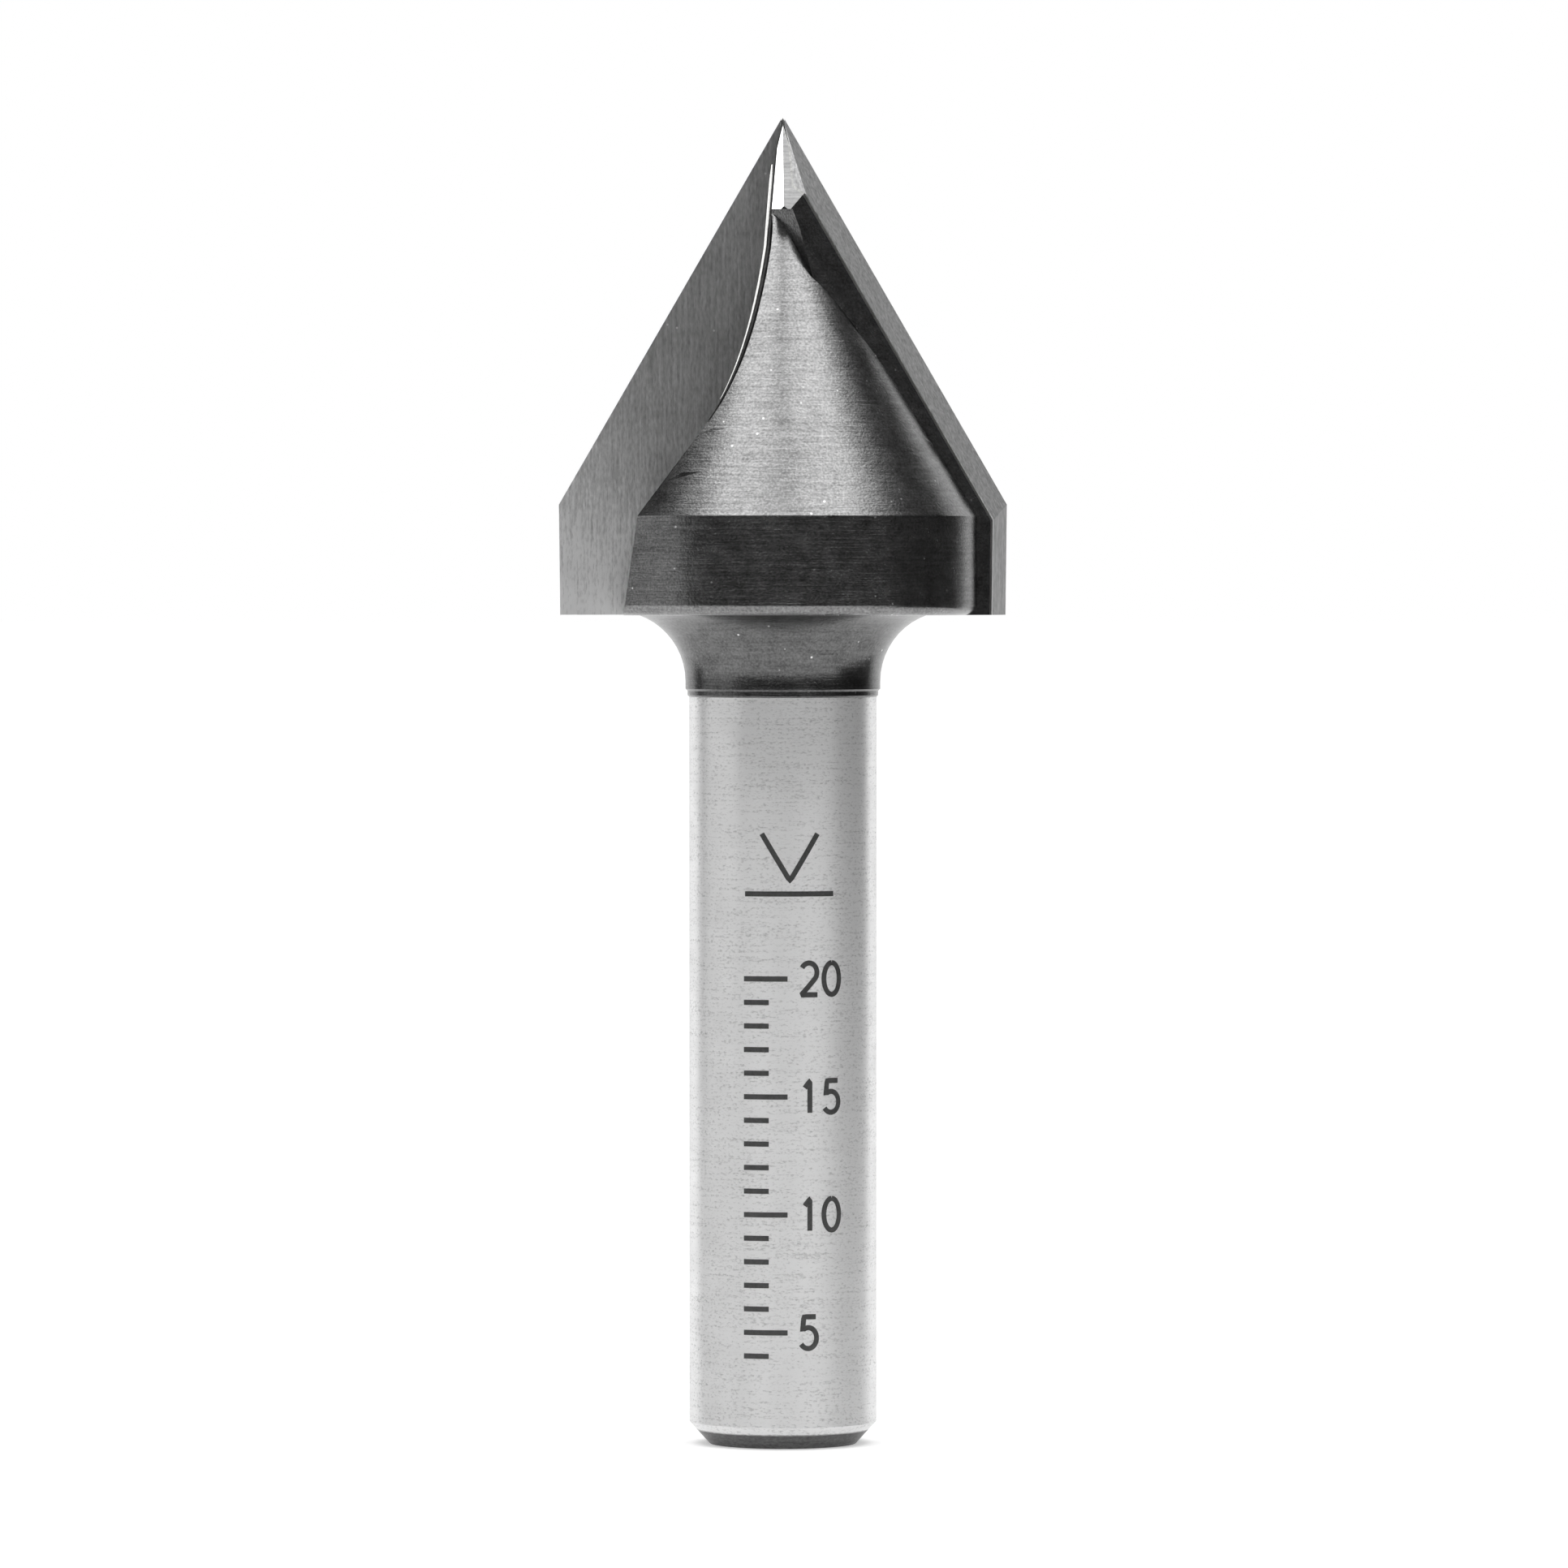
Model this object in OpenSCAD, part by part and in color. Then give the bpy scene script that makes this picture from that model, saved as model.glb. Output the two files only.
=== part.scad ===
// V groove router bit: a turned steel body with two carbide plates brazed into its head.
// Millimetres. +Z runs up the axis, from the shank's flat end to the cutting point.
// The front plate has its back towards -Y and lies at +X. The rear one is half a turn away.

/* [Shank and neck] */
// Diameter of the ground shank
shank_d = 8; // [6:0.05:8.2]
// Length of the ground shank, up to the end of the coating
shank_length = 31.9; // [20:0.1:45]
// Height of the chamfer round the shank's end
end_chamfer_height = 0.95; // [0.3:0.05:1.5]
// Width of the chamfer round the shank's end
end_chamfer_width = 0.86; // [0.3:0.02:1.2]
// Step from the ground shank out to the coated neck
grind_step = 0.07; // [0.02:0.01:0.2]
// Height of the short collar between the shank and the neck
collar_height = 0.25; // [0.15:0.05:0.6]
// How far the neck stands out beyond that collar
collar_step = 0.09; // [0.03:0.01:0.2]
// Straight height of the neck, from the collar to the start of its flare
neck_height = 0.32; // [0.1:0.02:6]
// Radius of the flare from the neck to the head's underside
neck_flare_r = 3; // [2.9:0.05:3.6]

/* [Head] */
// Diameter of the straight band of the core
core_d = 17; // [16.2:0.1:17.4]
// Height of the straight band of the core
band_height = 4.2; // [3:0.1:6]
// Radius of the band's lower edge
band_lower_r = 0.45; // [0.2:0.05:0.6]
// Half angle of the core's cone
core_half_angle = 30.2; // [29.5:0.1:31]

/* [Cutting edges] */
// Diameter across the two corners of the cutting edges
cut_d = 19.12; // [18.6:0.02:20]
// Height of the straight cutting edges, from their lower end to the corners
side_edge_height = 4.7; // [3.5:0.1:6.5]
// Half angle of the groove that the bit cuts
v_half_angle = 30; // [29:0.1:31]
// Back taper of the straight cutting edges, in degrees
side_taper = 0.7; // [0:0.1:1.5]
// Thickness of a carbide plate
plate_thickness = 1.6; // [1.3:0.05:1.8]
// Relief angle behind the sloping edges
v_relief = 27.7; // [20:0.1:30]
// Relief angle behind the straight edges
side_relief = 20.2; // [14:0.1:24]
// Thickness of the solder between a plate and its seat
seam = 0.07; // [0.04:0.01:0.12]

/* [Wings and gullets] */
// Thickness of a wing of the head, from the rake face to the milled back
wing_thickness = 2.3; // [2:0.05:2.5]
// How far the steel of a wing sits back from its plate's relief
wing_setback = 0.04; // [0.02:0.01:0.12]
// Lean of the bevel between the relief and a wing's back, in degrees
wing_bevel = 52.6; // [40:0.2:60]
// Distance of a gullet's wall from the axis at the head's underside
gullet_foot_x = 6.72; // [6.5:0.02:7]
// Distance of a gullet's wall from the axis at the top of the band
gullet_shoulder_x = 6.12; // [5.9:0.02:6.4]
// Slope of a gullet's wall just above the band, from the axis, in degrees
gullet_slope = 36.8; // [35:0.1:38]

/* [Point] */
// Height below the point at which the web between the plates ends
web_end_drop = 0.4; // [0.2:0.05:0.8]
// Half the web's thickness where it has its full width
web_half = 0.24; // [0.2:0.01:0.4]
// Height below the point at which the web has its full width
web_full_drop = 1.4; // [1:0.05:1.8]
// Direction that the wide flat ground behind the point faces, in degrees from the front
point_flat_azimuth = 23; // [18:0.5:28]
// Upward tilt of the wide flat behind the point, in degrees
point_flat_tilt = 28; // [24:0.5:30]
// Direction that the narrow flat beside it faces, in degrees from the front
web_flat_azimuth = -30; // [-40:0.5:-20]
// Upward tilt of the narrow flat, in degrees
web_flat_tilt = 26; // [22:0.5:28]
// Direction that the facet below the flats faces, in degrees from the front
facet_azimuth = -55; // [-65:0.5:-45]
// Upward tilt of the facet below the flats, in degrees
facet_tilt = -12.5; // [-16:0.5:-8]

/* [Hidden] */
$fn = 96;

// A margin by which a cut runs past what it cuts
past = 1;
// A block larger than the whole tool, for trimming along a plane
block = 60;
turned_steel = "dimgray";
ground_carbide = "silver";
solder = "gainsboro";

shank_r = shank_d / 2;
core_r = core_d / 2;
cut_r = cut_d / 2;
collar_r = shank_r + grind_step;
neck_r = collar_r + collar_step;
neck_z = shank_length + collar_height + collar_step;
flare_z = neck_z + neck_height;

// The flare stops a little before it would turn level, so its corner with the underside shows.
flare_end_angle = 71;
underside_z = flare_z + neck_flare_r * sin(flare_end_angle);
band_top_z = underside_z + band_height;
core_apex_z = band_top_z + core_r / tan(core_half_angle);
corner_z = underside_z + side_edge_height;
point_z = corner_z + cut_r / tan(v_half_angle);
side_foot_r = cut_r - side_edge_height * tan(side_taper);

// Where the wide flat behind the point crosses the edge of a plate, from the point
point_flat_start = [0.104, -0.305, -0.5];
web_flat_start = [0, -0.638, -1];

// A gullet's wall: straight up the band, straight along the slope, then a curve to the web.
slope_run = 3.9;
slope_end_x = gullet_shoulder_x - slope_run * tan(gullet_slope);
curve_top_x = 0.6;
curve_top_drop = 5.6;
curve_top_z = point_z - curve_top_drop;
curve_pull_x = 1.35;
curve_pull_rise = 6.4;
curve_pull_z = band_top_z + curve_pull_rise;
curve_steps = 8;

function bend(a, b, c, t) = a * (1 - t) * (1 - t) + b * 2 * t * (1 - t) + c * t * t;

function wall_path(gap) = concat(
    [
        [gullet_foot_x + gap + past * (gullet_foot_x - gullet_shoulder_x) / band_height, underside_z - past],
        [gullet_shoulder_x + gap, band_top_z]
    ],
    [
        for (i = [0 : curve_steps])
            [
                bend(slope_end_x, curve_pull_x, curve_top_x, i / curve_steps) + gap,
                bend(band_top_z + slope_run, curve_pull_z, curve_top_z, i / curve_steps)
            ]
    ],
    [
        [web_half + gap, point_z - web_full_drop],
        [gap, point_z - web_end_drop],
        [gap, point_z + past]
    ]
);

// Where the facet below the flats meets the wing's back, and the height at which it ends.
facet_start = [0.5, -wing_thickness, -4.07];
facet_top_z = point_z - 4.03;
wing_inner_x = -1.1;

// Everything on the outer side of a plane that passes through a place.
// The plane's face starts level, leans towards the front, and then turns about the Y axis.
module beyond_edge(place, lean, turn) {
    translate(place)
        rotate([0, turn, 0])
            rotate([lean, 0, 0])
                translate([-block / 2, -block / 2, 0])
                    cube(block);
}

// Everything in front of a flat that faces a direction and is tilted upwards.
module beyond_flat(place, azimuth, tilt) {
    translate([place[0], place[1], point_z + place[2]])
        rotate([0, 0, azimuth])
            rotate([90 - tilt, 0, 0])
                translate([-block / 2, -block / 2, 0])
                    cube(block);
}

// A prism whose outline stands in the XZ plane and that runs from y_low to y_high.
module upright_prism(y_low, y_high) {
    translate([0, y_high, 0])
        rotate([90, 0, 0])
            linear_extrude(y_high - y_low)
                children();
}

// The outline beyond a gullet's wall, out past the cutting edges.
module gullet_outline(gap) {
    polygon(concat(wall_path(gap), [[cut_d, point_z + past], [cut_d, underside_z - past]]));
}

// What lies beyond a gullet's wall at the height of the head.
module plate_outline(gap) {
    intersection() {
        gullet_outline(gap);
        translate([0, underside_z])
            square([cut_d, point_z - underside_z]);
    }
}

// What is ground away behind the cutting edges, a given setback further in.
module edge_relief(setback) {
    beyond_edge([-setback * cos(v_half_angle), 0, point_z - setback * sin(v_half_angle)],
        v_relief, 90 - v_half_angle);
    beyond_edge([cut_r - setback, 0, corner_z], side_relief, 90 + side_taper);
}

// The bevels from a plate's back edges to the back of a wing.
module back_bevel() {
    inward = plate_thickness * tan(v_relief) + wing_setback;
    side_inward = plate_thickness * tan(side_relief) + wing_setback;
    beyond_edge([-inward * cos(v_half_angle), -plate_thickness, point_z - inward * sin(v_half_angle)],
        wing_bevel, 90 - v_half_angle);
    beyond_edge([cut_r - side_inward, -plate_thickness, corner_z], wing_bevel, 90 + side_taper);
}

// The two flats ground behind the point.
module point_flats() {
    beyond_flat(point_flat_start, point_flat_azimuth, point_flat_tilt);
    beyond_flat(web_flat_start, web_flat_azimuth, web_flat_tilt);
}

module both_ways() {
    children();
    rotate([0, 0, 180])
        children();
}

// The shank, the neck and the head's core, as they leave the lathe.
module turned_blank() {
    rotate_extrude($fn = 180) {
        polygon([
            [0, 0],
            [shank_r - end_chamfer_width, 0],
            [shank_r, end_chamfer_height],
            [shank_r, shank_length],
            [collar_r, shank_length + grind_step],
            [collar_r, neck_z - collar_step],
            [neck_r, neck_z],
            [neck_r, flare_z],
            [0, flare_z]
        ]);
        difference() {
            translate([0, flare_z])
                square([neck_r + neck_flare_r, underside_z - flare_z + past]);
            translate([neck_r + neck_flare_r, flare_z])
                circle(neck_flare_r);
        }
        polygon([
            [0, underside_z],
            [core_r - band_lower_r, underside_z],
            [core_r, underside_z + band_lower_r],
            [core_r, band_top_z],
            [0, core_apex_z]
        ]);
        intersection() {
            translate([core_r - band_lower_r, underside_z + band_lower_r])
                circle(band_lower_r, $fn = 48);
            translate([core_r - band_lower_r, underside_z])
                square(band_lower_r);
        }
    }
}

// The steel behind a plate, out to its flat back. Its inner side lies within the core, and
// a facet is milled below the flats, down to the core's side.
module wing() {
    difference() {
        upright_prism(-wing_thickness, 0)
            polygon([
                [wing_inner_x, underside_z],
                [side_foot_r, underside_z],
                [cut_r, corner_z],
                [0, point_z],
                [wing_inner_x, point_z]
            ]);
        intersection() {
            beyond_flat(facet_start, facet_azimuth, facet_tilt);
            translate([-block / 2, -block, facet_top_z - block])
                cube(block);
        }
    }
}

module plate() {
    difference() {
        upright_prism(-plate_thickness, 0)
            plate_outline(seam);
        edge_relief(0);
        point_flats();
    }
}

// The solder fills the seat round the plate, as far out as the steel reaches.
module solder_seam() {
    difference() {
        upright_prism(-plate_thickness - seam, 0)
            plate_outline(0);
        upright_prism(-plate_thickness, past)
            gullet_outline(seam);
        edge_relief(wing_setback);
        back_bevel();
        point_flats();
    }
}

module steel_body() {
    color(turned_steel)
        difference() {
            union() {
                turned_blank();
                both_ways()
                    difference() {
                        wing();
                        edge_relief(wing_setback);
                        back_bevel();
                        point_flats();
                    }
            }
            both_ways()
                upright_prism(-plate_thickness - seam, core_d)
                    gullet_outline(0);
        }
}

module front_carbide_plate() {
    color(ground_carbide)
        plate();
}

module rear_carbide_plate() {
    color(ground_carbide)
        rotate([0, 0, 180])
            plate();
}

module front_solder_seam() {
    color(solder)
        solder_seam();
}

module rear_solder_seam() {
    color(solder)
        rotate([0, 0, 180])
            solder_seam();
}

steel_body();
front_carbide_plate();
rear_carbide_plate();
front_solder_seam();
rear_solder_seam();
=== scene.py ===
"""Dresses a V groove router bit: satin ground shank, black head, brazed carbide plates.

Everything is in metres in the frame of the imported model: +Z runs up the axis from the shank's
end to the cutting point, and the camera looks along +Y. Sizes with MM in them are real ones.
"""

import logging
import math
from dataclasses import dataclass, field
from enum import Enum
from typing import Iterator, Sequence

import bpy
import numpy as np
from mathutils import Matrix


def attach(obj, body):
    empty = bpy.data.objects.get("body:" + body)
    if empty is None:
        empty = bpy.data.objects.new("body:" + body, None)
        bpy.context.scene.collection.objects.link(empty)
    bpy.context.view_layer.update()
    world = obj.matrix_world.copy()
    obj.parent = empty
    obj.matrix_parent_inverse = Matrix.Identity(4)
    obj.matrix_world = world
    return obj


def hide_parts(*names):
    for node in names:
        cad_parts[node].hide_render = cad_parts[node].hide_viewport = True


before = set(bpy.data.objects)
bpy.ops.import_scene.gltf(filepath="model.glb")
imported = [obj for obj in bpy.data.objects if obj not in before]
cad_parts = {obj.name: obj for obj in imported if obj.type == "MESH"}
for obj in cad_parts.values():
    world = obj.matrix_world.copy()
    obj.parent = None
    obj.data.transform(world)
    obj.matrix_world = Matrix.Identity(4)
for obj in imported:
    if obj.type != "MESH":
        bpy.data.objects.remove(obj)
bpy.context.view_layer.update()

logging.basicConfig(level=logging.INFO, format="%(message)s")
log = logging.getLogger("router_bit")

MM = 0.001
BODY = "root"

# Half a turn about the axis, as a factor for x, y and z.
HALF_TURN = [-1, -1, 1]
# A shading direction that mirrors the soft box overhead to the camera. It isn't the direction of
# any surface here. It is set on the two smallest bright forms, so that they show as white as in
# the photograph.
TOWARDS_BOX = (-0.33, -0.74, 0.586)
# Colour of the dark cards.
DARK_CLOTH = "#505050"
# Points along the curve of a card.
CARD_STEPS = 25

Colour = tuple[float, float, float, float]


def linear(hex_colour: str) -> Colour:
    """Turns an sRGB hex colour into Blender's linear one.

    Args:
        hex_colour: Six hex digits after a hash sign.

    Returns:
        Red, green, blue and an alpha of 1, all linear.
    """
    parts = [int(hex_colour[i : i + 2], 16) / 255 for i in (1, 3, 5)]
    curve = [c / 12.92 if c <= 0.04045 else ((c + 0.055) / 1.055) ** 2.4 for c in parts]
    return (*curve, 1.0)


# ---- Mesh and node helpers ----


def grid_faces(rows: int, columns: int) -> np.ndarray:
    """Quads between neighbouring points of a grid.

    Args:
        rows: Points along the first direction.
        columns: Points along the second direction.

    Returns:
        One row of four point numbers for each quad.
    """
    start = np.arange(rows - 1)[:, None] * columns + np.arange(columns - 1)
    return np.stack([start, start + 1, start + columns + 1, start + columns], axis=-1).reshape(-1, 4)


def mesh_object(name: str, points: np.ndarray, faces: np.ndarray | list) -> bpy.types.Object:
    """Makes a linked mesh object at the origin.

    Args:
        name: Name of the object and its mesh.
        points: One row of x, y and z for each point, in metres.
        faces: Point numbers of each face.

    Returns:
        The new object.
    """
    mesh = bpy.data.meshes.new(name)
    mesh.from_pydata(points.tolist(), [], faces if isinstance(faces, list) else faces.tolist())
    mesh.update()
    made = bpy.data.objects.new(name, mesh)
    bpy.context.scene.collection.objects.link(made)
    return made


def new_material(name: str) -> bpy.types.Material:
    """An empty node material.

    Args:
        name: The material's name.

    Returns:
        The material, with no nodes in its tree.
    """
    material = bpy.data.materials.new(name)
    material.use_nodes = True
    material.node_tree.nodes.clear()
    return material


def add(tree: bpy.types.NodeTree, kind: str, *links: object, **settings: object) -> bpy.types.Node:
    """Adds a node, sets its values and links its inputs.

    Args:
        tree: The node tree to add to.
        kind: Blender's name for the node, without ShaderNode in front.
        *links: A node, an output socket, a number or None for each input in turn.
        **settings: A property of the node, or a value or link for an input, by the input's name
            with underscores for spaces.

    Returns:
        The new node.
    """
    node = tree.nodes.new("ShaderNode" + kind)
    for name, value in settings.items():
        if hasattr(node, name):
            setattr(node, name, value)
    wanted = [(node.inputs[i], source) for i, source in enumerate(links) if source is not None]
    wanted += [
        (node.inputs[name.replace("_", " ")], value) for name, value in settings.items() if not hasattr(node, name)
    ]
    for socket, value in wanted:
        if isinstance(value, bpy.types.Node):
            tree.links.new(value.outputs[0], socket)
        elif isinstance(value, bpy.types.NodeSocket):
            tree.links.new(value, socket)
        else:
            socket.default_value = value
    return node


def seen_directly(tree: bpy.types.NodeTree) -> bpy.types.Node:
    """1 for camera, glossy and transmission rays, and 0 for rays that only carry light."""
    path = add(tree, "LightPath")
    camera, glossy, through = (path.outputs[f"Is {kind} Ray"] for kind in ("Camera", "Glossy", "Transmission"))
    return add(tree, "Math", add(tree, "Math", camera, glossy, operation="MAXIMUM"), through, operation="MAXIMUM")


# ---- Studio ----


@dataclass(frozen=True)
class Photograph:
    """What the photograph's own frame says about the camera."""

    pixels: int = 1932
    pixels_per_mm: float = 28.86
    axis_pixel: float = 964.6
    floor_pixel: float = 1779.0
    horizon_pixel: float = 694.0
    distance: float = 430 * MM
    sensor: float = 36.0


@dataclass(frozen=True)
class Card:
    """A curved card that stands round the object, out of the camera's sight.

    Its angles are in degrees to the right of the camera, and its heights in metres.
    """

    name: str
    colour: str
    start: float
    end: float
    low: float
    high: float


@dataclass
class Studio:
    """White sweep, overhead soft box in two panels, cards and the camera."""

    photo: Photograph = field(default_factory=Photograph)
    card_radius: float = 0.75
    cards: Sequence[Card] = (
        Card("dark_card", DARK_CLOTH, -58, 128, -0.05, 0.88),
        Card("grey_card", "#c8c8c8", -110, -58, -0.05, 0.39),
        Card("upper_dark_card", DARK_CLOTH, -110, -58, 0.39, 0.88),
        Card("left_dark_card", DARK_CLOTH, -127, -110, -0.05, 0.88),
    )
    floor_cards: Sequence[tuple[float, float, float]] = ((-58, 66, 0.2), (66, 128, 0.09), (-127, -110, 0.13))
    floor_card_lift: float = 0.5 * MM
    box_height: float = 0.75
    box_left: float = -0.46
    box_right: float = 0.51
    box_gap: tuple[float, float] = (-0.025, 0.03)
    box_front: float = -0.44
    box_back: float = 0.18
    box_radiance: float = 2.2
    world_light: float = 0.75
    floor_glow: float = 0.45

    def build(self) -> None:
        """Makes the camera, the world, the floor, the lamps and the cards."""
        self.camera()
        self.world()
        self.floor()
        self.panel("soft_box_left", self.box_left, self.box_gap[0])
        self.panel("soft_box_right", self.box_gap[1], self.box_right)
        for card in self.cards:
            self.stand(card)
        for start, end, near in self.floor_cards:
            self.lay(start, end, near)
        bpy.context.scene.view_settings.view_transform = "Standard"

    def camera(self) -> None:
        """Aims a long lens at the middle of the photograph's frame, from its eye level."""
        photo = self.photo
        scale = photo.pixels_per_mm / MM
        eye = (photo.floor_pixel - photo.horizon_pixel) / scale
        middle = (photo.floor_pixel - photo.pixels / 2) / scale
        aside = (photo.pixels / 2 - photo.axis_pixel) / scale
        data = bpy.data.cameras.new("camera")
        data.sensor_width = photo.sensor
        data.lens = photo.sensor * scale * photo.distance / photo.pixels
        data.clip_start, data.clip_end = 0.01, 20
        camera = bpy.data.objects.new("camera", data)
        camera.location = (aside, -photo.distance, eye)
        camera.rotation_euler = (math.pi / 2 - math.atan2(eye - middle, photo.distance), 0, 0)
        bpy.context.scene.collection.objects.link(camera)
        bpy.context.scene.camera = camera

    def world(self) -> None:
        """White to the camera and in reflections, a plain soft grey as light."""
        world = bpy.data.worlds.new("studio")
        bpy.context.scene.world = world
        world.use_nodes = True
        tree = world.node_tree
        tree.nodes.clear()
        light = add(tree, "Background", Color=linear("#ffffff"), Strength=self.world_light)
        white = add(tree, "Background", Color=linear("#ffffff"), Strength=1.0)
        add(tree, "OutputWorld", add(tree, "MixShader", seen_directly(tree), light, white))

    def floor(self) -> None:
        """A pale floor that is white where nothing shades it."""
        half = 6.0
        corners = np.array([(-half, -half, 0), (half, -half, 0), (half, half, 0), (-half, half, 0)])
        floor = mesh_object("floor", corners, np.array([[0, 1, 2, 3]]))
        material = new_material("white_sweep")
        tree = material.node_tree
        card = add(tree, "BsdfDiffuse", Color=linear("#e6e6e6"))
        glow = add(tree, "Emission", Color=linear("#ffffff"), Strength=self.floor_glow)
        mix = add(tree, "MixShader", seen_directly(tree), card, add(tree, "AddShader", card, glow))
        add(tree, "OutputMaterial", mix)
        floor.data.materials.append(material)

    def panel(self, name: str, left: float, right: float) -> None:
        """Hangs one level panel of the soft box, which the head's cone mirrors.

        Args:
            name: Name of the panel.
            left: Where it starts in x.
            right: Where it ends in x.
        """
        data = bpy.data.lights.new(name, "AREA")
        data.shape = "RECTANGLE"
        data.size, data.size_y = right - left, self.box_back - self.box_front
        data.energy = self.box_radiance * math.pi * data.size * data.size_y
        lamp = bpy.data.objects.new(name, data)
        lamp.location = ((left + right) / 2, (self.box_front + self.box_back) / 2, self.box_height)
        bpy.context.scene.collection.objects.link(lamp)

    def lay(self, start: float, end: float, near: float) -> None:
        """Lays a dark card on the floor in front, which only polished metal sees.

        Args:
            start: Where it starts, in degrees to the right of the camera.
            end: Where it ends.
            near: How far from the axis it begins.
        """
        a, r = np.meshgrid(np.radians(np.linspace(start, end, CARD_STEPS)), [near, self.card_radius])
        points = np.stack([r * np.sin(a), -r * np.cos(a), np.full(a.shape, self.floor_card_lift)], axis=-1)
        made = mesh_object("floor_card", points.reshape(-1, 3), grid_faces(2, CARD_STEPS))
        made.visible_camera = made.visible_diffuse = made.visible_shadow = False
        material = new_material("floor_card")
        cloth = add(material.node_tree, "BsdfDiffuse", Color=linear(DARK_CLOTH))
        add(material.node_tree, "OutputMaterial", cloth)
        made.data.materials.append(material)

    def stand(self, card: Card) -> None:
        """Stands a card on its circle: angle and height are the grid's two parameters.

        Args:
            card: The card.
        """
        angles = np.radians(np.linspace(card.start, card.end, CARD_STEPS))
        a, z = np.meshgrid(angles, np.array([card.low, card.high]))
        points = np.stack([self.card_radius * np.sin(a), -self.card_radius * np.cos(a), z], axis=-1)
        made = mesh_object(card.name, points.reshape(-1, 3), grid_faces(2, len(angles)))
        made.visible_camera = False
        material = new_material(card.name)
        cloth = add(material.node_tree, "BsdfDiffuse", Color=linear(card.colour))
        add(material.node_tree, "OutputMaterial", cloth)
        made.data.materials.append(material)


# ---- Finishes ----


@dataclass(frozen=True)
class Metal:
    """A metal whose grain, grinding lines and marks are drawn by noise in real millimetres.

    grain and lines are the sizes of their spots along x, y and z. Each of them changes the colour
    by its own share, and together they give the relief; the blotches change the colour and the
    roughness.
    """

    name: str
    colour: str
    roughness: float
    grain: tuple[float, float, float]
    grain_tone: float
    lines: tuple[float, float, float]
    lines_tone: float
    relief: float
    blotch: float
    blotch_tone: float
    anisotropic: float = 0.0
    speck_colour: str = "#e0e0e0"
    speck_share: float = 0.0
    roughness_change: float = 0.08
    dark_below: float = 0.0
    dark_share: float = 1.0
    face_lit: float = 0.0

    def material(self) -> bpy.types.Material:
        """The metal as a material."""
        material = new_material(self.name)
        tree = material.node_tree
        place = add(tree, "TexCoord").outputs["Object"]
        grain = self.noise(tree, place, self.grain, 2)
        lines = self.noise(tree, place, self.lines, 3)
        blotch = self.noise(tree, place, (self.blotch,) * 3, 4)
        tone = self.tone(tree, [(grain, self.grain_tone), (lines, self.lines_tone), (blotch, self.blotch_tone)])
        # Darker below dark_below, to dark_share of the colour: on the black head this is painted shade on the neck.
        if self.dark_below:
            height = add(tree, "SeparateXYZ", place).outputs["Z"]
            edge = self.dark_below * MM
            shade = add(tree, "MapRange", height, edge - 0.05 * MM, edge + 0.05 * MM, self.dark_share, 1.0)
            tone = add(tree, "Math", tone, shade, operation="MULTIPLY")
        if self.face_lit:
            tone = self.lit_face(tree, place, tone)
        toned = add(tree, "VectorMath", linear(self.colour)[:3], operation="SCALE", Scale=tone)
        colour = add(tree, "VectorMath", toned, (0.9,) * 3, operation="MINIMUM")
        height = add(tree, "Math", grain, lines, operation="ADD")
        bump = add(tree, "Bump", Height=height, Strength=1.0, Distance=self.relief * MM)
        rough = add(
            tree,
            "MapRange",
            blotch,
            0.3,
            0.7,
            self.roughness - self.roughness_change / 2,
            self.roughness + self.roughness_change / 2,
        )
        shader = add(tree, "BsdfPrincipled", Base_Color=colour, Metallic=1.0, Roughness=rough, Normal=bump)
        if self.speck_share:
            self.specks(tree, place, colour, shader)
        if self.anisotropic:
            shader.inputs["Anisotropic"].default_value = self.anisotropic
            shader.inputs["Anisotropic Rotation"].default_value = 0.25
            round_axis = add(tree, "Tangent", direction_type="RADIAL", axis="Z")
            tree.links.new(round_axis.outputs[0], shader.inputs["Tangent"])
        add(tree, "OutputMaterial", shader)
        return material

    def lit_face(
        self, tree: bpy.types.NodeTree, place: bpy.types.NodeSocket, tone: bpy.types.Node
    ) -> bpy.types.Node:
        """Paints a highlight on the flat cutting face, brighter towards its lower outer corner.

        The share grows from 0 to 1 downwards and outwards, and only where the face looks along Y.

        Args:
            tree: The node tree.
            place: Object coordinates.
            tone: The brightness so far.

        Returns:
            The brightness with that share.
        """
        at = add(tree, "SeparateXYZ", place)
        facing = add(tree, "SeparateXYZ", add(tree, "NewGeometry").outputs["Normal"])
        front = add(tree, "Math", facing.outputs["Y"], operation="ABSOLUTE")
        outward = add(tree, "Math", at.outputs["X"], operation="ABSOLUTE")
        share: object = add(tree, "MapRange", front, 0.95, 0.99, 0.0, self.face_lit)
        down = add(tree, "MapRange", at.outputs["Z"], 35.4 * MM, 47 * MM, 1.0, 0.0)
        out = add(tree, "MapRange", outward, 5 * MM, 9.5 * MM, 0.7, 1.0)
        for factor in (down, out):
            share = add(tree, "Math", share, factor, operation="MULTIPLY")
        return add(tree, "Math", add(tree, "Math", share, 1.0, operation="ADD"), tone, operation="MULTIPLY")

    @staticmethod
    def noise(
        tree: bpy.types.NodeTree, place: bpy.types.NodeSocket, size: Sequence[float], detail: float
    ) -> bpy.types.Node:
        """Noise whose spots have a size in millimetres.

        Args:
            tree: The node tree.
            place: Object coordinates.
            size: Size of a spot along x, y and z.
            detail: Octaves of finer noise.

        Returns:
            The noise node.
        """
        scaled = add(tree, "Mapping", place, Scale=[1 / (s * MM) for s in size])
        return add(tree, "TexNoise", Vector=scaled, Scale=1.0, Detail=detail, Roughness=0.6)

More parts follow.
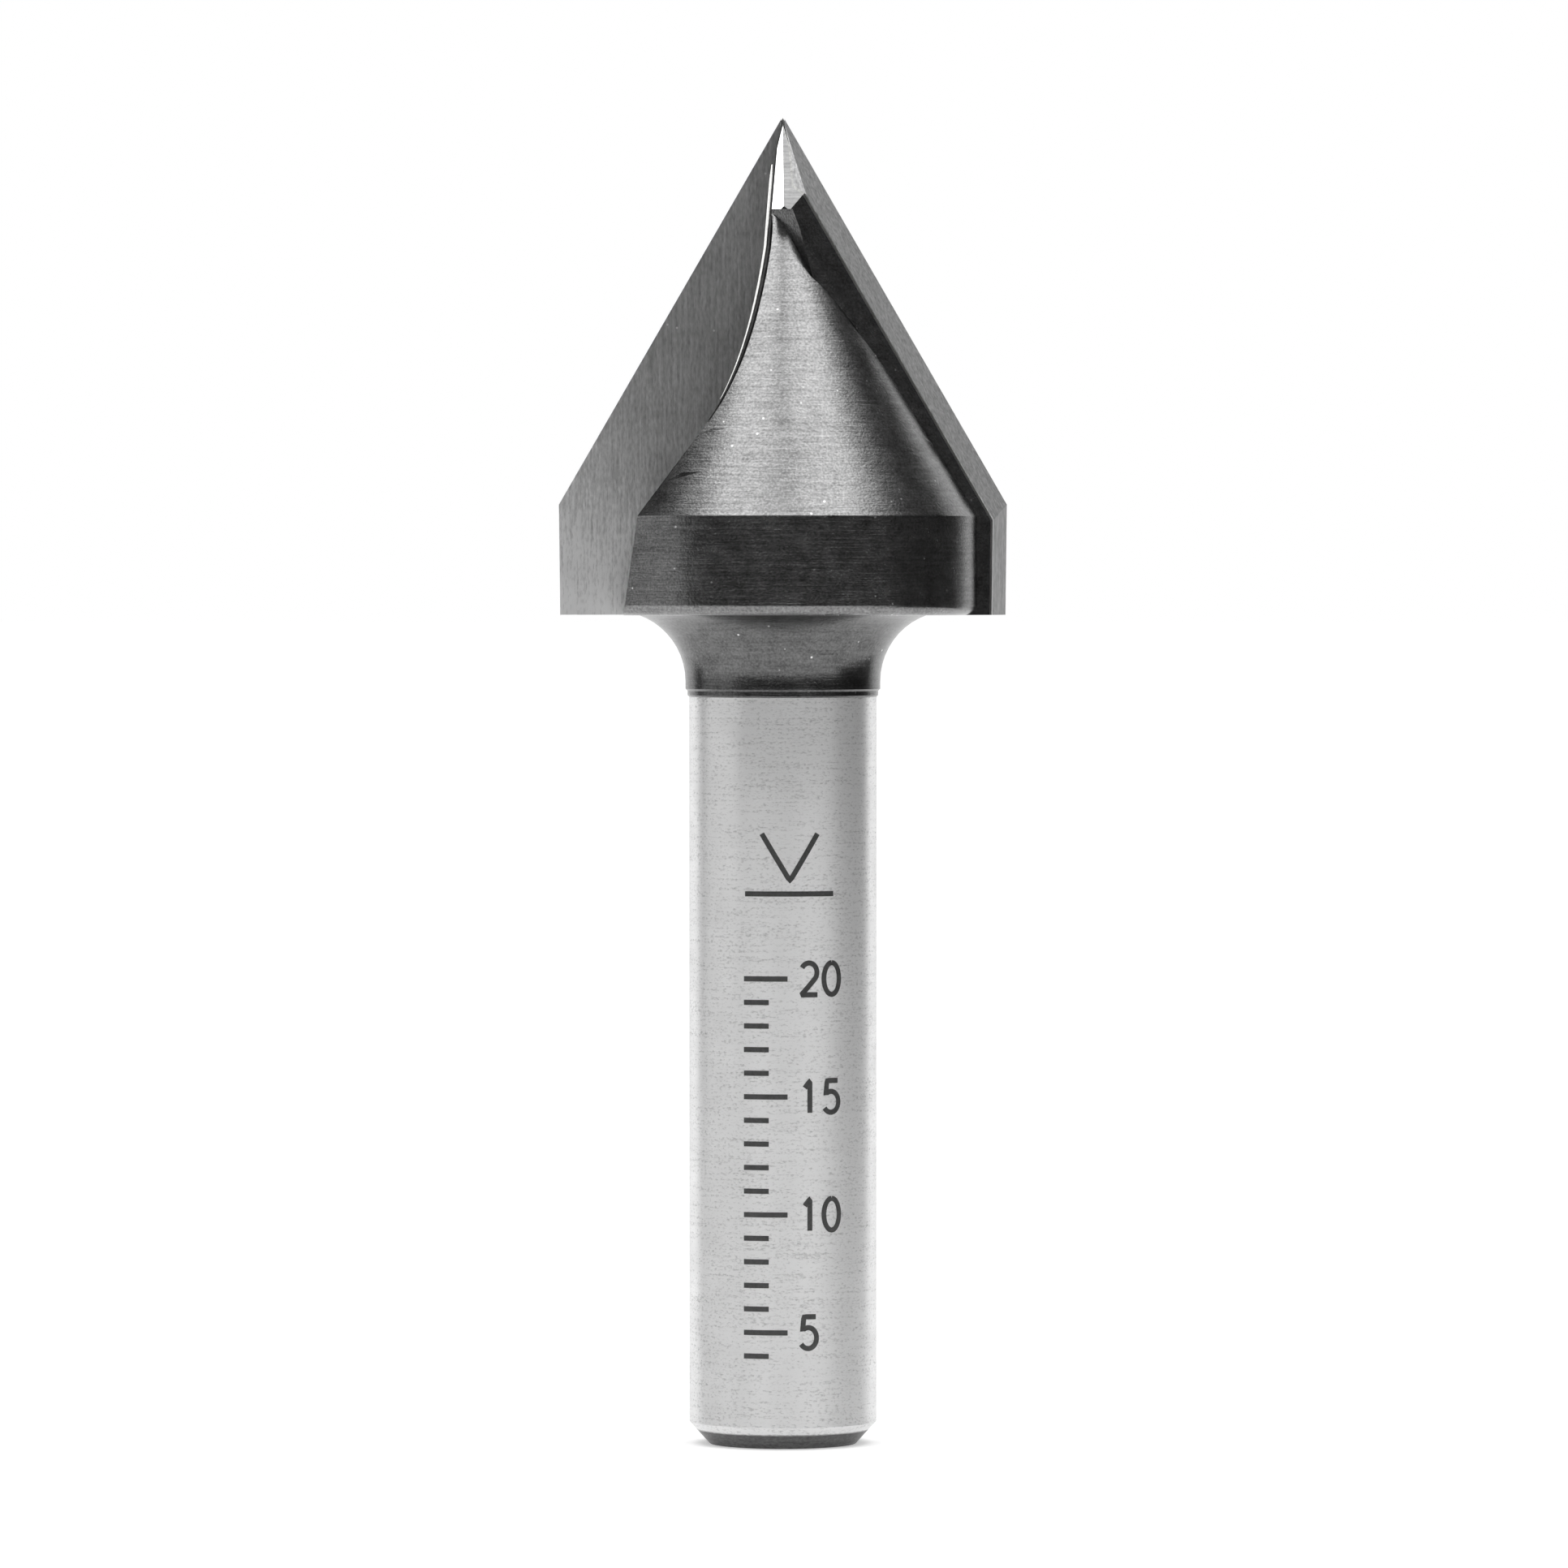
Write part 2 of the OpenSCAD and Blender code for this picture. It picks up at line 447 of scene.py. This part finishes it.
    @staticmethod
    def tone(tree: bpy.types.NodeTree, parts: Sequence[tuple[bpy.types.Node, float]]) -> bpy.types.Node:
        """A brightness near 1: one plus each noise's distance from its middle times its share.

        Args:
            tree: The node tree.
            parts: Each noise with its share.

        Returns:
            The last node of the sum.
        """
        total: object = 1.0 - sum(share for _, share in parts)
        for noise, share in parts:
            total = add(tree, "Math", noise, 2 * share, total, operation="MULTIPLY_ADD")
        return total

    def specks(
        self, tree: bpy.types.NodeTree, place: bpy.types.NodeSocket, colour: bpy.types.Node, shader: bpy.types.Node
    ) -> None:
        """Small bright chips: the middles of a few cells of a cell pattern.

        Args:
            tree: The node tree.
            place: Object coordinates.
            colour: The metal's own colour.
            shader: The shader that gets the colour with its chips.
        """
        scaled = add(tree, "Mapping", place, Scale=[1 / (0.38 * MM)] * 3)
        cells = add(tree, "TexVoronoi", Vector=scaled, Scale=1.0)
        near = add(tree, "MapRange", cells.outputs["Distance"], 0.06, 0.17, 1.0, 0.0)
        chosen = add(tree, "Math", cells.outputs["Color"], self.speck_share, operation="LESS_THAN")
        mask = add(tree, "Math", near, chosen, operation="MULTIPLY")
        mixed = add(tree, "Mix", data_type="RGBA")
        tree.links.new(mask.outputs[0], mixed.inputs[0])
        tree.links.new(colour.outputs[0], mixed.inputs[6])
        mixed.inputs[7].default_value = linear(self.speck_colour)
        tree.links.new(mixed.outputs[2], shader.inputs["Base Color"])


# Tool steel, cylindrically ground: satin, with fine rings that spread its shine along the axis.
# Real grinding lines are about 0.02 mm apart; they are drawn 0.12 mm apart so that they show.
# The end chamfer is drawn dark below its rim, because it looks so; the cause isn't known.
GROUND_STEEL = Metal(
    name="ground_steel",
    colour="#f6f6f6",
    roughness=0.5,
    grain=(0.16, 0.16, 0.08),
    grain_tone=0.65,
    lines=(3.0, 3.0, 0.12),
    lines_tone=0.35,
    relief=0.006,
    blotch=1.2,
    blotch_tone=0.05,
    anisotropic=0.9,
    dark_below=0.62,
    dark_share=0.18,
)

# Turned steel, chemically blackened: dark, smooth and shiny, with faint rings from the turning
# tool, cloudy patches of the coating and small bright chips. The neck is drawn darker than the
# head: painted shade, for the shaded floor under the head that the neck's flare mirrors. The
# neck is drawn darker than the head, because it looks so; the cause isn't known.
BLACKENED_STEEL = Metal(
    name="blackened_steel",
    colour="#7e7e7e",
    roughness=0.25,
    grain=(0.1, 0.1, 0.1),
    grain_tone=0.7,
    lines=(2.5, 2.5, 0.11),
    lines_tone=0.4,
    relief=0.006,
    blotch=0.8,
    blotch_tone=0.4,
    speck_share=0.2,
    roughness_change=0.05,
    # Painted shade: below this height, on the neck, the colour is darkened to dark_share.
    dark_below=35.4,
    dark_share=0.6,
)

# Bare steel, surface ground across the point: bright, with a fine hatch.
BARE_STEEL = Metal(
    name="bare_ground_steel",
    colour="#989898",
    roughness=0.34,
    grain=(0.15, 0.15, 0.15),
    grain_tone=0.15,
    lines=(2.0, 2.0, 0.1),
    lines_tone=0.5,
    relief=0.003,
    blotch=1.0,
    blotch_tone=0.03,
)

# The same steel on the narrow flat beside it, ground finer with a fainter hatch; its far paler
# colour is a painted highlight, where the flat mirrors the soft box.
BRIGHT_STEEL = Metal(
    name="ground_steel_painted_highlight",
    colour="#f2f2f2",
    roughness=0.3,
    grain=(0.15, 0.15, 0.15),
    grain_tone=0.03,
    lines=(2.0, 2.0, 0.1),
    lines_tone=0.04,
    relief=0.001,
    blotch=0.3,
    blotch_tone=0.03,
)

# Sintered tungsten carbide, diamond ground: mid grey and matt, with a fine grain.
CARBIDE = Metal(
    name="ground_tungsten_carbide",
    colour="#b2b2b2",
    roughness=0.48,
    grain=(0.1, 0.1, 0.35),
    grain_tone=0.5,
    lines=(0.12, 0.12, 2.5),
    lines_tone=0.5,
    relief=0.006,
    blotch=1.6,
    blotch_tone=0.08,
    speck_share=0.08,
    # Painted highlight: the cutting face is up to 1 + face_lit times as bright towards its lower outer corner.
    face_lit=1.3,
)

# Silver solder that flowed into the joint: pale and softly uneven.
SOLDER = Metal(
    name="silver_solder",
    colour="#a2a2a0",
    roughness=0.34,
    grain=(0.2, 0.2, 0.2),
    grain_tone=0.08,
    lines=(0.5, 0.5, 0.5),
    lines_tone=0.05,
    relief=0.01,
    blotch=1.2,
    blotch_tone=0.05,
)

# The bright line beside the gullets' walls, taken to be a bead of the same solder: smooth.
# Its colour, paler than the seam's, is a painted highlight.
BRAZE = Metal(
    name="silver_solder_bead",
    colour="#c4c4c2",
    roughness=0.3,
    grain=(0.1, 0.1, 0.1),
    grain_tone=0.2,
    lines=(0.3, 0.3, 0.3),
    lines_tone=0.2,
    relief=0.004,
    blotch=0.8,
    blotch_tone=0.2,
)

# The dark line along the gullets' front edges: painted shade, a dark rough strip laid where the
# wall's edge is in shade.
SCALE = Metal(
    name="painted_edge_shade",
    colour="#3c3c3c",
    roughness=0.45,
    grain=(0.1, 0.1, 0.1),
    grain_tone=0.6,
    lines=(0.3, 0.3, 0.3),
    lines_tone=0.4,
    relief=0.01,
    blotch=0.8,
    blotch_tone=0.3,
)

# Laser mark on the shank: dark oxide that has rubbed thin in places.
LASER_MARK = Metal(
    name="laser_mark",
    colour="#5a5a5a",
    roughness=0.5,
    grain=(0.12, 0.12, 0.12),
    grain_tone=0.3,
    lines=(0.5, 0.5, 0.2),
    lines_tone=0.2,
    relief=0.004,
    blotch=0.6,
    blotch_tone=0.2,
)


# ---- Steel body ----


class Surface(Enum):
    """The finishes of the steel body, by their material slot."""

    SHANK = 0
    BLACK = 1
    BARE = 2
    BRIGHT = 3


@dataclass(frozen=True)
class Line:
    """A straight stretch of the turned outline, from (r0, z0) up to (r1, z1), in millimetres."""

    r0: float
    z0: float
    r1: float
    z1: float


@dataclass(frozen=True)
class Arc:
    """A round stretch of the turned outline, in millimetres. side is 1 where it bulges outwards."""

    r: float
    z: float
    radius: float
    side: int
    low: float
    high: float


@dataclass
class SteelBody:
    """Shank, neck and black head as one smooth-shaded piece in place of the CAD solid."""

    node: str = "steel_body"
    shank_top: float = 31.9
    tolerance: float = 0.012
    blend_angle: float = 12.0
    lines: Sequence[Line] = (
        Line(3.14, 0, 4, 0.95),
        Line(4, 0.95, 4, 31.9),
        Line(4, 31.9, 4.07, 31.97),
        Line(4.07, 31.97, 4.07, 32.15),
        Line(4.07, 32.15, 4.16, 32.24),
        Line(4.16, 32.24, 4.16, 32.56),
        Line(8.5, 35.847, 8.5, 39.597),
        Line(8.5, 39.597, 0, 54.201),
    )
    arcs: Sequence[Arc] = (
        Arc(7.16, 32.56, 3.0, -1, 32.56, 35.397),
        Arc(8.05, 35.847, 0.45, 1, 35.397, 35.847),
    )
    ground: Sequence[tuple[Surface, tuple[float, float, float]]] = (
        (Surface.BARE, (0.345, -0.813, 0.470)),
        (Surface.BRIGHT, (-0.449, -0.778, 0.438)),
        (Surface.BARE, (0.767, -0.465, 0.443)),
        (Surface.BARE, (0.938, -0.345, -0.011)),
    )

    def build(self) -> bpy.types.Object:
        """Copies the CAD solid, merges its points, and gives it normals and finishes."""
        points, faces = self.merged()
        piece = mesh_object("steel_body_finished", points * MM, faces)
        corners = points[faces]
        normals = np.cross(corners[:, 1] - corners[:, 0], corners[:, 2] - corners[:, 0])
        areas = np.linalg.norm(normals, axis=1)
        normals /= areas[:, None]
        smooth = self.blended(faces, normals, areas)
        turned, on = self.turned(corners, normals)
        smooth[on] = turned[on]
        surfaces = self.surfaces(corners, normals, on)
        bright = surfaces == Surface.BRIGHT.value
        towards_box = np.array(TOWARDS_BOX)
        smooth[bright] = towards_box * np.where(normals[bright, 1:2] < 0, 1, HALF_TURN)[:, None]
        mesh = piece.data
        mesh.polygons.foreach_set("use_smooth", np.ones(len(faces), bool))
        for finish in (GROUND_STEEL, BLACKENED_STEEL, BARE_STEEL, BRIGHT_STEEL):
            mesh.materials.append(finish.material())
        mesh.polygons.foreach_set("material_index", surfaces)
        mesh.normals_split_custom_set(smooth.reshape(-1, 3).tolist())
        mesh.update()
        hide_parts(self.node)
        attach(piece, BODY)
        return piece

    def merged(self) -> tuple[np.ndarray, np.ndarray]:
        """The CAD solid's points in millimetres, each once, and its triangles."""
        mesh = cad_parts[self.node].data
        points = np.empty(len(mesh.vertices) * 3)
        mesh.vertices.foreach_get("co", points)
        corners = np.empty(len(mesh.loops), int)
        mesh.loops.foreach_get("vertex_index", corners)
        whole = np.round(points.reshape(-1, 3) / MM, 4)
        unique, index = np.unique(whole, axis=0, return_inverse=True)
        faces = index.reshape(-1)[corners].reshape(-1, 3)
        kept = (faces != np.roll(faces, 1, axis=1)).all(axis=1)
        return unique, faces[kept]

    def turned(self, corners: np.ndarray, normals: np.ndarray) -> tuple[np.ndarray, np.ndarray]:
        """Exact normals of the turned surfaces.

        A triangle lies on a stretch of the outline where its three corners do, in radius and
        height, and it faces the same way. Its normal at a corner is the stretch's own, turned
        round the axis to the corner.

        Args:
            corners: The corners of each triangle.
            normals: The triangles' flat normals.

        Returns:
            A normal for each corner, and which triangles have one.
        """
        r = np.hypot(corners[..., 0], corners[..., 1])
        z = corners[..., 2]
        out = corners[..., :2] / np.maximum(r, 1e-6)[..., None]
        middle = corners.mean(axis=1)
        facing = middle[:, :2] / np.linalg.norm(middle[:, :2], axis=1)[:, None]
        flat = np.stack([(normals[:, :2] * facing).sum(axis=1), normals[:, 2]], axis=-1)
        result = np.zeros_like(corners)
        found = np.zeros(len(corners), bool)
        for off, along in self.stretches(r, z):
            facing_same = (flat * along.mean(axis=1)).sum(axis=1) > 0.99
            on = (np.abs(off) < self.tolerance).all(axis=1) & facing_same & ~found
            result[on] = np.concatenate([out * along[..., :1], along[..., 1:]], axis=-1)[on]
            found |= on
        return result, found

    def stretches(self, r: np.ndarray, z: np.ndarray) -> Iterator[tuple[np.ndarray, np.ndarray]]:
        """Each stretch's distance from every corner, and its normal there in radius and height.

        Args:
            r: Each corner's distance from the axis.
            z: Each corner's height.

        Yields:
            The distances and the normals.
        """
        slack = self.tolerance
        for line in self.lines:
            along = np.array([line.z1 - line.z0, line.r0 - line.r1])
            along /= np.linalg.norm(along)
            off = (r - line.r0) * along[0] + (z - line.z0) * along[1]
            yield np.where((z > line.z0 - slack) & (z < line.z1 + slack), off, 1), np.broadcast_to(
                along, (*r.shape, 2)
            )
        for arc in self.arcs:
            away = np.stack([r - arc.r, z - arc.z], axis=-1)
            reach = np.linalg.norm(away, axis=-1)
            inside = (z > arc.low - slack) & (z < arc.high + slack)
            yield np.where(inside, reach - arc.radius, 1), arc.side * away / reach[..., None]

    def blended(self, faces: np.ndarray, normals: np.ndarray, areas: np.ndarray) -> np.ndarray:
        """Normals for each corner, averaged over the triangles round it that nearly agree.

        Args:
            faces: Point numbers of the triangles.
            normals: The triangles' flat normals.
            areas: The triangles' areas, which weigh the average.

        Returns:
            One normal for each corner of each triangle.
        """
        corner_point = faces.reshape(-1)
        corner_face = np.repeat(np.arange(len(faces)), 3)
        order = np.argsort(corner_point, kind="stable")
        counts = np.bincount(corner_point)
        first = np.cumsum(counts) - counts
        repeats = counts[corner_point]
        left = np.repeat(np.arange(len(corner_point)), repeats)
        step = np.arange(repeats.sum()) - np.repeat(np.cumsum(repeats) - repeats, repeats)
        right = corner_face[order[np.repeat(first[corner_point], repeats) + step]]
        agree = (normals[corner_face[left]] * normals[right]).sum(axis=1) > math.cos(math.radians(self.blend_angle))
        total = np.zeros((len(corner_point), 3))
        np.add.at(total, left[agree], (areas[right, None] * normals[right])[agree])
        return (total / np.linalg.norm(total, axis=1)[:, None]).reshape(-1, 3, 3)

    def surfaces(self, corners: np.ndarray, normals: np.ndarray, turned: np.ndarray) -> np.ndarray:
        """The finish of each triangle: ground shank, bare flats by their direction, else black.

        Args:
            corners: The corners of each triangle.
            normals: The triangles' flat normals.
            turned: Which triangles lie on a turned surface.

        Returns:
            Material slot numbers.
        """
        chosen = np.full(len(corners), Surface.BLACK.value)
        for surface, direction in self.ground:
            both_sides = np.array([direction, np.array(direction) * HALF_TURN])
            chosen[(normals @ both_sides.T > 0.999).any(axis=1) & ~turned] = surface.value
        chosen[corners[..., 2].max(axis=1) < self.shank_top + self.tolerance] = Surface.SHANK.value
        return chosen


# ---- Braze ----


# Places on a gullet's wall, as distance from the axis and height in millimetres.
WALL_TOP = (0.25, 55.2)
WALL_CURVE = ((0.6, 51.055), (1.35, 45.997), (3.2025, 43.497))
WALL_SHOULDER = (6.12, 39.597)


def wall_place(height: np.ndarray) -> np.ndarray:
    """A gullet's wall: down from the web, then along a curve and along its slope.

    Args:
        height: Heights on the head, in millimetres.

    Returns:
        The wall's distance from the axis at each height, in millimetres.
    """
    t = np.linspace(0, 1, 33)[:, None]
    a, b, c = np.array(WALL_CURVE)
    bend = a * (1 - t) ** 2 + b * 2 * t * (1 - t) + c * t**2
    path = np.concatenate([[WALL_TOP], bend, [WALL_SHOULDER]])[::-1]
    return np.interp(height, path[:, 1], path[:, 0])


@dataclass
class GulletBead:
    """A fine bead that follows each gullet's wall, in millimetres.

    It lies on the cutting face at the wall's foot, or on the wall's front edge, where the
    gullet breaks out of the cone.
    """

    name: str
    finish: Metal
    slot: str
    radius: float
    outward: float
    high: float
    low: float
    on_cone: bool = False
    mirrors_box: bool = False
    sides: int = 10
    rings: int = 60
    taper: Sequence[Sequence[float]] = ((0, 0.06, 0.6, 1), (0.4, 1, 0.9, 0.2))
    apex: float = 54.201
    half_angle: float = 30.2

    def build(self) -> bpy.types.Object:
        """Carries a circle along the wall: angle and height are the two parameters."""
        z = np.linspace(self.high, self.low, self.rings)
        x = wall_place(z)
        cone = (self.apex - z) * math.tan(math.radians(self.half_angle))
        y = -np.sqrt(np.maximum(cone**2 - x**2, 0)) if self.on_cone else np.zeros(self.rings)
        way = np.gradient(np.stack([x, z], axis=-1), axis=0)
        way /= np.linalg.norm(way, axis=1)[:, None]
        size = self.radius * np.interp(np.linspace(0, 1, self.rings), *self.taper)
        turn = np.linspace(0, 2 * np.pi, self.sides, endpoint=False)
        flat = size[:, None] * np.cos(turn)
        places = [x[:, None] + self.outward - way[:, 1:] * flat, y[:, None] + size[:, None] * np.sin(turn)]
        one = np.stack([*places, z[:, None] + way[:, :1] * flat], axis=-1).reshape(-1, 3)
        k = np.arange(self.sides)
        start = self.sides * np.arange(self.rings - 1)[:, None]
        after = (k + 1) % self.sides
        walls = np.stack([start + after, start + self.sides + after, start + self.sides + k, start + k], axis=-1)
        last = len(one) - self.sides
        faces = walls.reshape(-1, 4).tolist() + [k[::-1].tolist(), (last + k).tolist()]
        # The front cone edge and the camera-side cutting face belong to the rear plate, at -X.
        points = np.concatenate([one * [-1, 1, 1], one * [1, -1, 1]])
        faces += [[len(one) + corner for corner in face] for face in faces]
        piece = mesh_object(self.name, points * MM, faces)
        piece.data.polygons.foreach_set("use_smooth", np.ones(len(faces), bool))
        piece.data.materials.append(self.finish.material())
        if self.mirrors_box:
            ahead = np.array(TOWARDS_BOX)
            shading = np.repeat([ahead, ahead * HALF_TURN], len(one), axis=0)
            piece.data.normals_split_custom_set_from_vertices(shading.tolist())
        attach(piece, BODY)
        return piece


BEADS = (
    # A real solder bead, with a painted highlight in its paler colour and its shading towards the box.
    GulletBead("braze_beads", BRAZE, "silver_solder", 0.06, 0.16, 54.6, 44.6, mirrors_box=True),
    # Painted shade: a dark strip on each wall's front edge.
    GulletBead("painted_shade_edges", SCALE, "turned_steel", 0.11, 0.0, 52.4, 43.6, on_cone=True),
)


# ---- Depth scale ----


@dataclass
class DepthScale:
    """A plain depth line, a pointer and a millimetre scale, laser marked on the shank.

    Places are in millimetres along the shank's surface from its front line, and in height.
    """

    radius: float = 4.0
    lift: float = 0.004
    sunk: float = 0.03
    stroke: float = 0.22
    line_ends: tuple[float, float] = (-1.65, 2.25)
    line_z: float = 23.6
    pointer_gap: float = 0.55
    pointer_size: tuple[float, float] = (1.2, 2.0)
    ticks: tuple[int, int] = (4, 20)
    tick_start: float = -1.7
    tick_lengths: tuple[float, float] = (1.1, 1.9)
    digit_start: float = 0.75
    digit_size: tuple[float, float] = (0.75, 1.35)
    digit_step: float = 1.05

    def build(self) -> bpy.types.Object:
        """Carries a thin band along every stroke."""
        strokes = [np.array([[self.line_ends[0], self.line_z], [self.line_ends[1], self.line_z]])]
        middle = sum(self.line_ends) / 2
        tip = self.line_z + self.pointer_gap
        wide, high = self.pointer_size
        strokes.append(np.array([[middle - wide, tip + high], [middle, tip], [middle + wide, tip + high]]))
        for z in range(self.ticks[0], self.ticks[1] + 1):
            length = self.tick_lengths[z % 5 == 0]
            strokes.append(np.array([[self.tick_start, z], [self.tick_start + length, z]]))
            if z % 5 == 0:
                strokes.extend(self.number(z))
        made = [self.band(path) for path in strokes]
        sizes = np.cumsum([0] + [len(points) for points, _ in made])
        points = np.concatenate([points for points, _ in made])
        faces = np.concatenate([faces + start for (_, faces), start in zip(made, sizes)])
        piece = mesh_object("depth_scale", points * MM, faces)
        piece.data.materials.append(LASER_MARK.material())
        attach(piece, BODY)
        return piece

    def number(self, value: int) -> list[np.ndarray]:
        """The strokes of a number's digits, beside its tick.

        Args:
            value: The number.

        Returns:
            One path for each digit.
        """
        a = np.radians(np.linspace(0, 360, 25))
        turn = np.radians(np.linspace(150, -50, 15))
        belly = np.radians(np.linspace(125, -145, 19))
        hook = np.stack([0.45 + 0.5 * np.cos(belly), 0.33 + 0.33 * np.sin(belly)], axis=-1)
        shapes = {
            "0": np.stack([0.5 + 0.5 * np.sin(a), 0.5 + 0.5 * np.cos(a)], axis=-1),
            "1": np.array([[0.25, 0.78], [0.55, 1.0], [0.55, 0.0]]),
            "2": np.concatenate(
                [np.stack([0.5 + 0.47 * np.cos(turn), 0.7 + 0.3 * np.sin(turn)], axis=-1), [[0.05, 0], [1, 0]]]
            ),
            "5": np.concatenate([[[0.9, 1], [0.2, 1], [0.12, 0.55]], hook]),
        }
        size = np.array(self.digit_size)
        return [
            shapes[digit] * size + [self.digit_start + i * self.digit_step, value - size[1] / 2]
            for i, digit in enumerate(str(value))
        ]

    def band(self, path: np.ndarray) -> tuple[np.ndarray, np.ndarray]:
        """A thin rectangle carried along a path on the cylinder, with both ends closed.

        Args:
            path: Places of the stroke's middle line.

        Returns:
            The points in millimetres, and the faces.
        """
        path = self.dense(path)
        ahead = np.gradient(path, axis=0)
        ahead /= np.linalg.norm(ahead, axis=1)[:, None]
        side = np.stack([-ahead[:, 1], ahead[:, 0]], axis=-1) * self.stroke / 2
        low, high = self.radius - self.sunk, self.radius + self.lift
        profile = [(side, low), (-side, low), (-side, high), (side, high)]
        rows = []
        for offset, r in profile:
            place = path + offset
            angle = place[:, 0] / self.radius
            rows.append(np.stack([r * np.sin(angle), -r * np.cos(angle), place[:, 1]], axis=-1))
        points = np.stack(rows, axis=1).reshape(-1, 3)
        last = len(path) - 1
        start = 4 * np.arange(last)[:, None]
        ring = np.arange(4)
        ahead_ring = (ring + 1) % 4
        walls = np.stack([start + ring, start + ahead_ring, start + 4 + ahead_ring, start + 4 + ring], axis=-1)
        caps = np.array([[3, 2, 1, 0], [4 * last, 4 * last + 1, 4 * last + 2, 4 * last + 3]])
        return points, np.concatenate([walls.reshape(-1, 4), caps])

    @staticmethod
    def dense(path: np.ndarray, spacing: float = 0.15) -> np.ndarray:
        """The path with points at most so far apart, so that it follows the round shank.

        Args:
            path: Places of the stroke's middle line.
            spacing: The largest gap in millimetres.

        Returns:
            The denser path.
        """
        steps = np.linalg.norm(np.diff(path, axis=0), axis=1)
        reached = np.concatenate([[0], np.cumsum(steps)])
        count = max(int(np.ceil(reached[-1] / spacing)), 2)
        at = np.union1d(np.linspace(0, reached[-1], count + 1), reached)
        at = at[np.concatenate([[True], np.diff(at) > 1e-6])]
        return np.stack([np.interp(at, reached, path[:, i]) for i in (0, 1)], axis=-1)


def main() -> None:
    """Builds the studio and dresses each piece."""
    Studio().build()
    body = SteelBody().build()
    log.info("%s: %d triangles", body.name, len(body.data.polygons))
    for part in (*BEADS, DepthScale()):
        piece = part.build()
        log.info("%s: %d faces", piece.name, len(piece.data.polygons))
    dressed = {
        CARBIDE: ("front_carbide_plate", "rear_carbide_plate"),
        SOLDER: ("front_solder_seam", "rear_solder_seam"),
    }
    for metal, nodes in dressed.items():
        material = metal.material()
        for node in nodes:
            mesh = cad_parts[node].data
            mesh.materials.clear()
            mesh.materials.append(material)
            log.info("%s: %s", node, metal.name)


if __name__ == "__main__":
    main()
